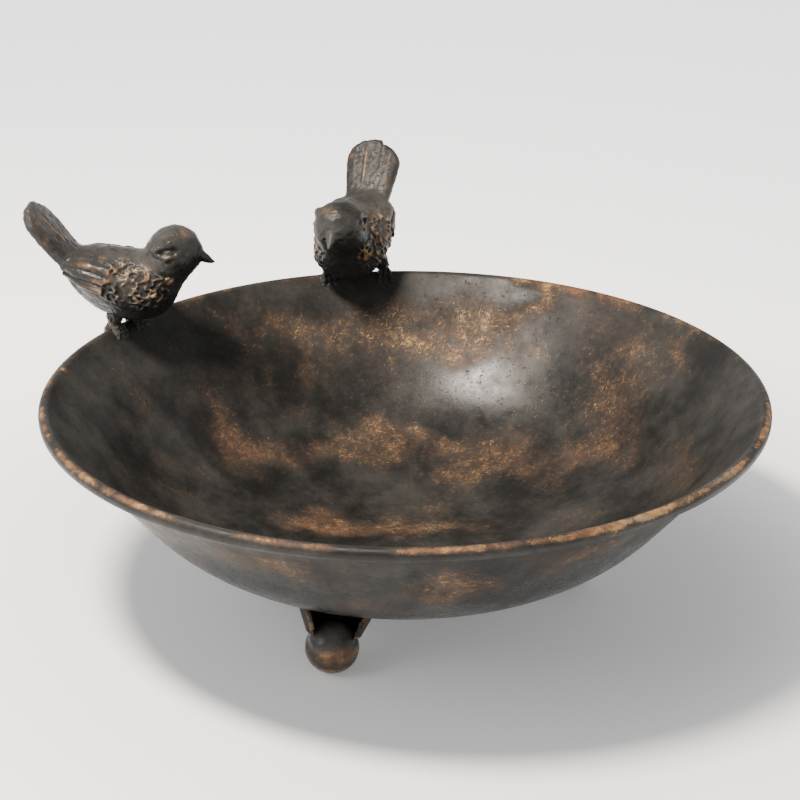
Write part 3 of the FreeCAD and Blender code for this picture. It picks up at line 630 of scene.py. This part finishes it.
def bird_field(p):
    """Negative inside the casting, in mm from its surface. Both sides are alike."""
    m = np.stack([p[:, 0], np.abs(p[:, 1]), p[:, 2]], axis=1)
    body = egg(m, (5.0, 0, 20.9), (20.3, 16.2, 15.8), 6)
    body = join(body, egg(m, (-9.0, 0, 24.6), (16.5, 13.0, 12.0), 26), 7)
    body = join(body, egg(m, (19.0, 0, 29.5), (10.8, 11.8, 10.4)), 5)
    wing = egg(m, (-0.5, 10.7, 23.6), (20.8, 6.4, 9.3), 20)
    body = join(body, wing, 1.6)
    head = egg(m, (24.4, 0, 37.0), (12.1, 11.7, 11.6))
    body = join(body, head, 4.5)
    body = join(body, tail_field(p), 5.0)
    for start, end, radius in (((31.0, 4.2, 43.0), (24.8, 9.1, 43.4), 1.6),
                               ((24.8, 9.1, 43.4), (18.2, 10.7, 40.4), 1.4)):
        body = join(body, rod(m, start, end, radius, radius), 2.2)
    body = cut(body, egg(m, (23.9, 12.3, 39.7), (5.4, 2.5, 1.7), -8), 1.1)
    body = join(body, egg(m, (24.1, 9.9, 39.4), (2.6, 1.6, 1.5)), 0.6)
    lid = join(rod(m, (19.0, 11.2, 38.6), (23.7, 11.6, 37.2), 0.7, 0.95),
               rod(m, (23.7, 11.6, 37.2), (29.2, 9.1, 38.8), 0.95, 0.6), 1)
    body = join(body, lid, 1.2)
    beak = join(rod(m, (31.8, 0, 37.9), (41.6, 0, 33.1), 3.9, 0.6),
                rod(m, (31.8, 0, 35.9), (40.4, 0, 32.9), 2.7, 0.6), 0.5)
    body = join(body, beak, 1.2)
    body = cut(body, rod(m, (33.6, 4.4, 35.2), (40.2, 1.2, 33.1), 0.55, 0.25), 0.4)
    return body - bird_relief(p)


def skin(field, low, high, step):
    """The surface where a field is zero, as vertices and faces: one vertex in each cell that it crosses."""
    axes = [np.arange(a, b + step, step) for a, b in zip(low, high)]
    grid = np.stack(np.meshgrid(*axes, indexing="ij"), axis=-1)
    shape = grid.shape[:3]
    values = field(grid.reshape(-1, 3)).reshape(shape)
    inside = values < 0
    cells = tuple(n - 1 for n in shape)
    total, count = np.zeros(cells + (3,)), np.zeros(cells)
    crossings = []
    for axis in range(3):
        first = [slice(None)] * 3
        second = [slice(None)] * 3
        first[axis], second[axis] = slice(0, -1), slice(1, None)
        first, second = tuple(first), tuple(second)
        crossing = inside[first] != inside[second]
        share = np.where(crossing, values[first] / np.where(crossing, values[first] - values[second], 1), 0)
        place = grid[first] + share[..., None] * (grid[second] - grid[first])
        crossings.append(crossing)
        others = [a for a in range(3) if a != axis]
        for du in (0, 1):
            for dv in (0, 1):
                part = [slice(None)] * 3
                part[others[0]] = slice(du, cells[others[0]] + du)
                part[others[1]] = slice(dv, cells[others[1]] + dv)
                part = tuple(part)
                total += np.where(crossing[part][..., None], place[part], 0)
                count += crossing[part]
    used = count > 0
    number = np.full(cells, -1)
    number[used] = np.arange(used.sum())
    verts = total[used] / count[used][:, None]
    faces = []
    for axis in range(3):
        u, v = [(axis + 1) % 3, (axis + 2) % 3]
        edges = np.argwhere(crossings[axis])
        away_from_start = (edges[:, u] > 0) & (edges[:, v] > 0)
        edges = edges[away_from_start & (edges[:, u] < cells[u]) & (edges[:, v] < cells[v])]
        corners = []
        for du, dv in ((1, 1), (0, 1), (0, 0), (1, 0)):
            cell = edges.copy()
            cell[:, u] -= du
            cell[:, v] -= dv
            corners.append(number[tuple(cell.T)])
        quads = np.stack(corners, axis=1)
        leaving = inside[tuple(edges.T)]
        faces.append(quads[leaving])
        faces.append(quads[~leaving][:, ::-1])
    return verts, np.concatenate(faces)


def settle(field, points, rounds=3):
    """Points moved on to the surface of the field, along its slope."""
    nudge = 0.08
    for _ in range(rounds):
        here = field(points)
        slope = np.stack([(field(points + nudge * unit) - field(points - nudge * unit)) / (2 * nudge)
                          for unit in np.eye(3)], axis=1)
        points = points - (here / np.maximum((slope ** 2).sum(axis=1), 0.3))[:, None] * slope
    return points


bird_verts, bird_faces = skin(bird_field, (-47, -20, 4), (43, 20, 62), 0.5)
bird_verts = settle(bird_field, bird_verts)


def bird_rubbing(p):
    """Gold on the raised coverts and flight feathers, on the brow, a light rub along the lower lids that is
    also their painted highlight, and gold down the tail's shafts.
    """
    coverts, flight, tail = bird_areas(p)
    x, y, z = p.T
    up, side, _ = tail_place(p)
    high = smoothstep(z, 14.5, 22)
    fore = 0.75 + 0.45 * smoothstep(x, 6, 13)
    amount = coverts * fore * (0.12 + 0.88 * high) * (2.2 * coverts_relief(p) - 0.55)
    patchy = 0.65 + 0.6 * smooth_waves(p, 9.0, 12)
    amount = amount + flight * 1.5 * np.clip(flight_relief(p) - 0.3, 0, 1) * patchy
    face = np.exp(-(((x - 29) / 4.5) ** 2 + ((z - 45) / 4) ** 2 + ((y + 2) / 6) ** 2))
    # Along the lower lids: gold, and with it a painted highlight on the lid.
    lid_highlight = np.exp(-(((x - 24) / 6) ** 2 + ((z - 38.2) / 2.0) ** 2)) * smoothstep(np.abs(y), 9, 11)
    neck = np.exp(-(((x - 15) / 6) ** 2 + ((z - 32) / 5) ** 2))
    back = np.exp(-(((x - 3) / 5) ** 2 + ((z - 35) / 3.5) ** 2)) * smoothstep(np.abs(y), 3, 6)
    shaft = np.exp(-((side + 1.8 + 0.05 * up) / 0.7) ** 2) * window(up, 8, 30, 4)
    streak = shaft + np.exp(-((side - 4.5) / 0.9) ** 2) * window(up, 10, 16, 3)
    streak = streak + np.exp(-((side - 8.5) / 1.0) ** 2) * window(up, 9, 17, 3)
    dusted = 0.14 + 0.55 * tail * np.clip(0.3 + smooth_waves(p, 5.0, 15), 0, 1)
    parts = [amount, 1.2 * face, 0.7 * lid_highlight, 0.7 * neck, 0.65 * back, 1.1 * tail * streak, dusted]
    return np.clip(np.maximum.reduce(parts), 0, 1.6)


def perch(azimuth, heading, nod, sink):
    """From the bird's own frame, in metres, to its place on the rim."""
    angle = math.radians(azimuth)
    place = Vector((RIM_RADIUS * math.cos(angle), RIM_RADIUS * math.sin(angle), RIM_HEIGHT - sink * MM))
    turn = Matrix.Rotation(math.radians(heading), 4, "Z") @ Matrix.Rotation(math.radians(nod), 4, "Y")
    return Matrix.Translation(place) @ turn


for node, (azimuth, heading, nod, sink, _) in PERCHES.items():
    finish = patina(
        f"{node}_patina", shift=azimuth * 0.01, fine=1.6, rough=BIRD_ROUGHNESS[node], relief=2.6, solid=0.9,
        lift=1.6, pale=0.12)
    bird_mesh = mesh_of(f"cast_{node}", bird_verts * MM, bird_faces, finish)
    bird = new_piece(f"cast_{node}", bird_mesh)
    set_rubbed(bird, bird_rubbing(bird_verts))
    bird.data.transform(perch(azimuth, heading, nod, sink))
    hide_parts(node)

# ================================================================ legs
# Short rough legs, cast with the birds: a feathered thigh, a scaly shank, three knuckled toes over the
# inside of the rim and one over the outside, each with a claw, and brazed to the rim where they touch it.
# Sizes in mm, with the middle of the rim under the foot as origin, +X into the bowl and +Z up.

LEG_AIM_HEIGHT = 17.0
LEG_LEAN = 0.6
BEAD = BEAD_RADIUS / MM
DOWNHILL = np.array([math.cos(WALL_SLOPE), 0.0, -math.sin(WALL_SLOPE)])
RIM = RIM_RADIUS / MM


def rim_field(p):
    """Field of the rolled edge and the wall below it."""
    inward = RIM - np.hypot(RIM - p[:, 0], p[:, 1])
    down = np.clip(inward * DOWNHILL[0] + p[:, 2] * DOWNHILL[2], 0, None)
    return np.hypot(inward - down * DOWNHILL[0], p[:, 2] - down * DOWNHILL[2]) - BEAD


def over_rim(angle, lift):
    """A point `lift` off the rolled edge, `angle` degrees round it from its top towards the bowl."""
    turn = math.radians(angle)
    return np.array([math.sin(turn), 0, math.cos(turn)]) * (BEAD + lift)


def toe_path(fan):
    """Knuckle, two joints and the claw's root and tip of a front toe."""
    tangent = 90 - math.degrees(WALL_SLOPE)
    points = [over_rim(0, 1.3), over_rim(tangent, 1.25), over_rim(tangent, 1.1) + DOWNHILL * 1.2,
              over_rim(tangent, 0.85) + DOWNHILL * 2.5, over_rim(tangent, 0.35) + DOWNHILL * 4.2]
    spread = math.tan(math.radians(fan))
    return [point + np.array([0, spread * (1.0 + point[0]), 0]) for point in points]


def leg_field(knee, hip, seed):
    """The field of one leg with its toes and the braze round them."""

    def field(p):
        leg = join(rod(p, over_rim(0, 1.2), knee, 2.1, 2.6), rod(p, knee, hip, 3.3, 5.2), 2.4)
        for fan in (-27, 2, 29):
            knuckle, joint, toe, root, tip = toe_path(fan)
            for start, end, thick, thin in ((knuckle, joint, 1.35, 1.2), (joint, toe, 1.25, 1.0),
                                            (toe, root, 1.1, 0.85), (root, tip, 0.75, 0.25)):
                leg = join(leg, rod(p, start, end, thick, thin), 0.35)
        hind = [over_rim(0, 1.2), over_rim(-45, 1.4), over_rim(-78, 1.9), over_rim(-96, 2.9)]
        for start, end, thick, thin in zip(hind, hind[1:], (1.4, 1.2, 0.8), (1.2, 0.9, 0.3)):
            leg = join(leg, rod(p, start, end, thick, thin), 0.35)
        rough = 0.30 * smooth_waves(p, 2.0, seed) + 0.16 * smooth_waves(p, 1.1, seed + 1)
        leg = leg - rough * smoothstep(p[:, 2], -9, 4)
        film = np.maximum(rim_field(p) - 0.12, leg - 0.9 - 0.5 * smooth_waves(p, 3.0, seed + 2))
        return join(leg, film, 1.1)

    return field


def leg_rubbing(p):
    """Bright claws and knuckles, and a dusting on the shank."""
    low = 1 - smoothstep(rim_field(p), 0.6, 1.9)
    claws = (1 - smoothstep(p[:, 2], -4.5, -2.2)) + smoothstep(-p[:, 0], 3.2, 4.4)
    return np.clip(0.3 + 1.1 * claws * (1 - 0.3 * low), 0, 1.7)


def foot_place(azimuth):
    angle = math.radians(azimuth)
    middle = Vector((RIM_RADIUS * math.cos(angle), RIM_RADIUS * math.sin(angle), RIM_HEIGHT))
    return Matrix.Translation(middle) @ Matrix.Rotation(angle + math.pi, 4, "Z")


leg_step = 0.3
leg_seed = 31
for bird_node, (azimuth, heading, nod, sink, spread) in PERCHES.items():
    for side_name, side in (("left", 1), ("right", -1)):
        node = f"{bird_node}_leg_{side_name}"
        place = foot_place(azimuth - side * spread)
        bird_place = perch(azimuth, heading, nod, sink)
        top = bird_place.inverted() @ place @ Vector((0, 0, (BEAD + 1.3) * MM))
        hip = Vector((top.x * LEG_LEAN, top.y * LEG_LEAN, LEG_AIM_HEIGHT * MM))
        hip = np.array(place.inverted() @ bird_place @ hip) / MM
        knee = over_rim(0, 1.3) + (hip - over_rim(0, 1.3)) * 0.27
        field = leg_field(knee, hip, leg_seed)
        low = np.minimum(np.array([-6.5, -7.5, -11.5]), hip - 5.5)
        high = np.maximum(np.array([12.0, 7.5, 6.5]), hip + 5.5)
        leg_verts, leg_faces = skin(field, low, high, leg_step)
        leg_verts = settle(field, leg_verts, 2)
        finish = patina(
            f"{node}_patina", shift=0.03 * leg_seed, fine=1.6, rough=0.38, relief=1.8, solid=0.4, lift=1.6)
        leg_mesh = mesh_of(f"cast_{node}", leg_verts * MM, leg_faces, finish)
        leg = new_piece(f"cast_{node}", leg_mesh)
        set_rubbed(leg, leg_rubbing(leg_verts))
        leg.data.transform(place)
        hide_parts(node)
        leg_seed += 3

# ================================================================ feet
# Three balls of cast iron. Each sits in a cone of bent sheet, the collar, open on one side, whose wide end
# is welded to the belly of the bowl. The weld is a row of overlapping drops, and runs on down the edges.

BALL_RADIUS = (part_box("foot_ball_front")[1][2] - GROUND) / 2
FOOT_CIRCLE = 74.5 * MM
FOOT_AZIMUTHS = {"front": -113.0, "right": 7.0, "back": 127.0}
COLLAR_GRIP = math.radians(62.0)
COLLAR_FLARE = math.radians(23.0)
COLLAR_SHEET = 1.0 * MM
COLLAR_STEPS = 80
SEAT_GAP = 0.3 * MM
# From the belly to the collar's upper edge, and to the middle of a drop of weld.
COLLAR_GAP = 0.10 * MM
WELD_GAP = 0.35 * MM
# The collar runs between these two angles round its axis. The rest of the turn is open.
COLLAR_FROM = math.radians(75.0)
COLLAR_TO = math.radians(335.0)
CONE_START = BALL_RADIUS * math.cos(COLLAR_GRIP)
CONE_MOUTH = BALL_RADIUS * math.sin(COLLAR_GRIP) + SEAT_GAP


BELLY = belly_radius((RIM_RADIUS, RIM_HEIGHT))
BELLY_MIDDLE = bowl_low.z + BELLY


def foot_matrix(azimuth):
    """From a foot's own frame, with +Z from the ball's middle to the belly's, to its place."""
    lean = math.atan2(FOOT_CIRCLE - FLOOR_RADIUS, BELLY_MIDDLE - BALL_RADIUS)
    spin = Matrix.Rotation(math.radians(azimuth), 4, "Z")
    out = Matrix.Translation((FOOT_CIRCLE, 0, BALL_RADIUS + GROUND))
    return spin @ out @ Matrix.Rotation(-lean, 4, "Y")


def on_cone(angle, tall, offset):
    """A point on the cone, `offset` outside its inner face, in the foot's own frame."""
    radius = CONE_MOUTH + offset + (tall - CONE_START) * math.tan(COLLAR_FLARE)
    return Vector((radius * math.cos(angle), radius * math.sin(angle), tall))


def reach_belly(place, angle, offset, gap):
    """How far up the cone a line at this angle meets the belly, less a gap."""
    low, high = 0.0, 2.2 * BALL_RADIUS
    for _ in range(40):
        tall = (low + high) / 2
        point = place @ on_cone(angle, tall, offset)
        off = math.hypot(math.hypot(point.x, point.y) - FLOOR_RADIUS, point.z - BELLY_MIDDLE)
        if off > BELLY + gap:
            low = tall
        else:
            high = tall
    return low


def collar_outline(place, angle):
    """The wall's outline at one angle: up the outside to the belly, over and down the inside."""
    lip = COLLAR_SHEET / 2

    def round_lip(turn):
        rise = Vector((0, 0, lip * (1 + math.sin(turn))))
        return on_cone(angle, CONE_START, lip + lip * math.cos(turn)) + rise

    top_in = reach_belly(place, angle, 0.0, COLLAR_GAP)
    top_out = reach_belly(place, angle, COLLAR_SHEET, COLLAR_GAP)
    outline = [round_lip(turn) for turn in np.linspace(-math.pi / 2, 0, 5)[:-1]]
    for share in np.linspace(0, 1, 13):
        tall = CONE_START + lip + (top_out - CONE_START - lip) * share
        outline.append(on_cone(angle, tall, COLLAR_SHEET))
    for share in np.linspace(1, 0, 13):
        tall = CONE_START + lip + (top_in - CONE_START - lip) * share
        outline.append(on_cone(angle, tall, 0.0))
    return outline + [round_lip(turn) for turn in np.linspace(math.pi, 1.5 * math.pi, 5)[1:-1]]


def collar_mesh(place):
    """The open cone as a row of closed outlines, and how much each point is rubbed: most at the opening."""
    verts = []
    rubbed = []
    for angle in np.linspace(COLLAR_FROM, COLLAR_TO, COLLAR_STEPS):
        out = Vector((math.cos(angle), math.sin(angle), 0))
        bulge = out * (0.10 * math.sin(2 * angle + 0.7) + 0.06 * math.sin(5 * angle)) * MM
        outline = collar_outline(place, angle)
        verts += [place @ (point + bulge) for point in outline]
        from_edge = min(angle - COLLAR_FROM, COLLAR_TO - angle)
        rubbed += [0.20 + 1.0 * math.exp(-(from_edge / 0.45) ** 2)] * len(outline)
    count = len(outline)
    faces = [tuple(range(count)), tuple(range(len(verts) - 1, len(verts) - 1 - count, -1))]
    for n in range(COLLAR_STEPS - 1):
        for m in range(count):
            here, after, up = n * count, (n + 1) * count, (m + 1) % count
            faces.append((here + m, after + m, after + up, here + up))
    return verts, faces, np.array(rubbed)


def weld_line(place):
    """Up one edge of the collar's opening, round the collar where it meets the belly, down the other edge."""
    seam = []
    for angle in np.linspace(COLLAR_FROM, COLLAR_TO, COLLAR_STEPS):
        tall = reach_belly(place, angle, COLLAR_SHEET, WELD_GAP)
        seam.append((angle, tall, COLLAR_SHEET + 0.25 * MM))
    low = CONE_START + 2.2 * MM
    first, last = ([(angle, tall, COLLAR_SHEET / 2) for tall in np.linspace(low, top - 0.5 * MM, 8)]
                   for angle, top, _ in (seam[0], seam[-1]))
    return [place @ on_cone(*at) for at in first + seam + last[::-1]]


def weld_tree(material):
    """Overlapping drops along a line, each turned along it and a little different in size."""
    nodes, given = growing_tree(
        "weld_drops",
        {"Drop Radius": "NodeSocketFloat", "Spacing": "NodeSocketFloat", "Seed": "NodeSocketInt"})
    line = nodes.add("GeometryNodeMeshToCurve", Mesh=given["Geometry"])
    places = nodes.add(
        "GeometryNodeCurveToPoints", out=None, settings={"mode": "LENGTH"}, Curve=line,
        Length=given["Spacing"])
    drop = nodes.add("GeometryNodeMeshIcoSphere", Radius=given["Drop Radius"], Subdivisions=3)
    uneven = nodes.add("FunctionNodeRandomValue", out=1, settings={"data_type": "FLOAT"},
                       i2=0.72, i3=1.2, Seed=given["Seed"])
    drops = nodes.add(
        "GeometryNodeInstanceOnPoints", Points=places.outputs["Points"], Instance=drop,
        Rotation=places.outputs["Rotation"], Scale=uneven)
    end_tree(nodes, drops, material)
    return nodes.tree


def ball_mesh(azimuth, seed):
    """A ball with the faint seam of its mould and the skin of a casting."""
    ball = bmesh.new()
    bmesh.ops.create_icosphere(ball, subdivisions=6, radius=1.0)
    mesh = bpy.data.meshes.new("ball")
    ball.to_mesh(mesh)
    ball.free()
    unit = points_of(mesh)
    seam = np.exp(-((unit @ np.array([0.80, 0.60, 0.0])) / 0.03) ** 2)
    size = BALL_RADIUS - 0.16 * MM + 0.05 * MM * seam
    size = size + 0.05 * MM * smooth_waves(unit, 0.5, seed) + 0.025 * MM * smooth_waves(unit, 0.16, seed + 1)
    verts = unit * size[:, None] + np.array([FOOT_CIRCLE, 0, BALL_RADIUS + GROUND])
    mesh.vertices.foreach_set("co", verts.ravel())
    mesh.transform(Matrix.Rotation(math.radians(azimuth), 4, "Z"))
    mesh.update()
    return mesh


foot_seed = 51
for foot, azimuth in FOOT_AZIMUTHS.items():
    place = foot_matrix(azimuth)
    finish = patina(f"foot_collar_{foot}_patina", shift=0.02 * foot_seed, rough=0.42)
    collar_verts, collar_faces, collar_rubbed = collar_mesh(place)
    name = f"bent_foot_collar_{foot}"
    collar = new_piece(name, mesh_of(name, collar_verts, collar_faces, finish))
    set_rubbed(collar, collar_rubbed)
    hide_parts(f"foot_collar_{foot}")

    seam = weld_line(place)
    seam_line = bpy.data.meshes.new("seam")
    seam_line.from_pydata(seam, [(n, n + 1) for n in range(len(seam) - 1)], [])
    finish = patina(f"foot_weld_{foot}_patina", shift=0.03 * foot_seed, rough=0.30, solid=0.6, pale=0.1)
    weld_mesh = grown(seam_line, weld_tree(finish), {
        "Drop Radius": 0.95 * MM, "Spacing": 0.75 * MM, "Seed": foot_seed,
    })
    weld = new_piece(f"foot_weld_{foot}", weld_mesh)
    set_rubbed(weld, 0.75 + 0.6 * smooth_waves(points_of(weld_mesh) / MM, 6, foot_seed))

    foot_ball_mesh = ball_mesh(azimuth, foot_seed)
    foot_ball_mesh.materials.append(patina(
        f"foot_ball_{foot}_patina", shift=0.05 * foot_seed, rough=0.18, solid=0.5, lift=2.2, pale=0.04))
    ball = new_piece(f"cast_foot_ball_{foot}", foot_ball_mesh)
    ball_points = points_of(foot_ball_mesh) / MM
    heights = ball_points[:, 2]
    low_band = np.exp(-((heights - 3.6) / 3.0) ** 2) * 1.15
    blotches = 0.85 + 0.8 * smooth_waves(ball_points, 13, foot_seed + 2)
    middle = np.exp(-((heights - 10.5) / 5.0) ** 2) * blotches
    set_rubbed(ball, np.clip(np.maximum(low_band, middle), 0.15, 1.5))
    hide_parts(f"foot_ball_{foot}")
    foot_seed += 4

# ================================================================ rim wire
# Drawn steel wire inside the rolled edge. It is kept as it was made in CAD.

wire_finish = bpy.data.materials.new("drawn_wire")
wire_finish.use_nodes = True
wire_nodes = Nodes(wire_finish.node_tree)
wire_shader = wire_finish.node_tree.nodes["Principled BSDF"]
wire_place = wire_nodes.add("ShaderNodeTexCoord", out="Object")
draw_lines = wire_nodes.noise(wire_nodes.moved(wire_place, (1, 1, 8)), 500.0, 2.0)
WIRE_DARK = (0.10, 0.095, 0.09, 1)
WIRE_LIGHT = (0.22, 0.21, 0.20, 1)
wire_colour = wire_nodes.mix(wire_nodes.ramp(draw_lines, 0.3, 0.7), WIRE_DARK, WIRE_LIGHT)
wire_finish.node_tree.links.new(wire_colour, wire_shader.inputs["Base Color"])
wire_shader.inputs["Metallic"].default_value = 1.0
wire_rough = wire_nodes.maths("MULTIPLY_ADD", draw_lines, 0.2, 0.3)
wire_finish.node_tree.links.new(wire_rough, wire_shader.inputs["Roughness"])
for wire_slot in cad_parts["rim_wire"].material_slots:
    wire_slot.material = wire_finish
